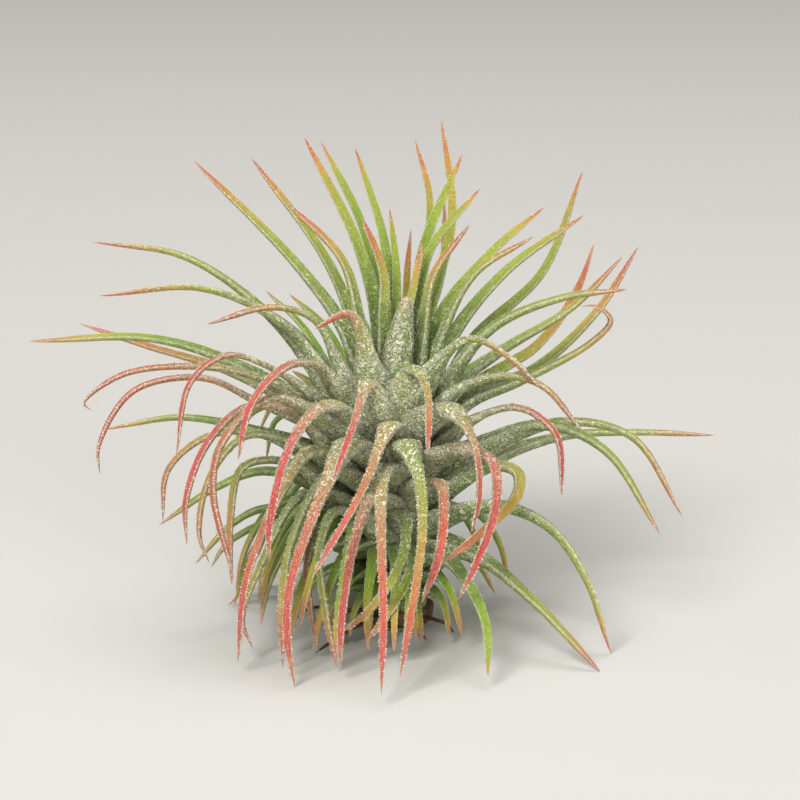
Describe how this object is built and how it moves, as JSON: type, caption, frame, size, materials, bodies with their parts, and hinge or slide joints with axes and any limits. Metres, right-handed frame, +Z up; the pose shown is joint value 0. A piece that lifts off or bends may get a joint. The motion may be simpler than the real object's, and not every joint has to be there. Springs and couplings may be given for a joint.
{
  "type": "air plant",
  "caption": "Small rootless rosette plant whose channelled silver-green leaves rise, arch over and hang from a short stem, blushed pink at the tips, resting on its stem's foot",
  "frame": {"origin": "centre of the flat at the foot of the stem, on the surface that the plant stands on", "axes": "+Z up along the stem, +X to the right as seen from the front, -Y towards the front, where the blushed leaves hang"},
  "size_m": [0.0981, 0.0784, 0.0681],
  "materials": {
    "leaf": "matt living leaf, silver-green with fine white scales, yellow to pink-red towards the tip",
    "stem": "matt living tissue, silver-green, with the lowest leaves grown on it and a brown foot",
    "dry_leaf": "dead leaf, dry, brown and fibrous"
  },
  "bodies": {
    "root": {"stem": "stem", "dry_leaves": "dry_leaf", "back_01": "leaf", "back_02": "leaf", "back_03": "leaf", "back_04": "leaf", "back_05": "leaf", "back_06": "leaf", "back_07": "leaf", "back_08": "leaf", "back_10": "leaf", "back_11": "leaf", "back_12": "leaf", "back_14": "leaf", "back_15": "leaf", "back_17": "leaf", "back_18": "leaf", "back_19": "leaf", "right_01": "leaf", "right_03": "leaf", "right_04": "leaf", "right_05": "leaf", "right_06": "leaf", "right_07": "leaf", "right_08": "leaf", "right_09": "leaf", "right_10": "leaf", "right_11": "leaf", "right_12": "leaf", "right_13": "leaf", "right_14": "leaf", "right_15": "leaf", "left_01": "leaf", "left_02": "leaf", "left_03": "leaf", "left_04": "leaf", "left_05": "leaf", "left_06": "leaf", "left_07": "leaf", "left_08": "leaf", "left_09": "leaf", "left_10": "leaf", "left_11": "leaf", "left_12": "leaf", "left_14": "leaf", "left_19": "leaf", "heart_02": "leaf", "heart_03": "leaf", "heart_04": "leaf", "heart_05": "leaf", "heart_06": "leaf", "front_01": "leaf", "front_04": "leaf", "front_05": "leaf", "front_10": "leaf", "front_11": "leaf", "front_13": "leaf"}
  },
  "joints": []
}
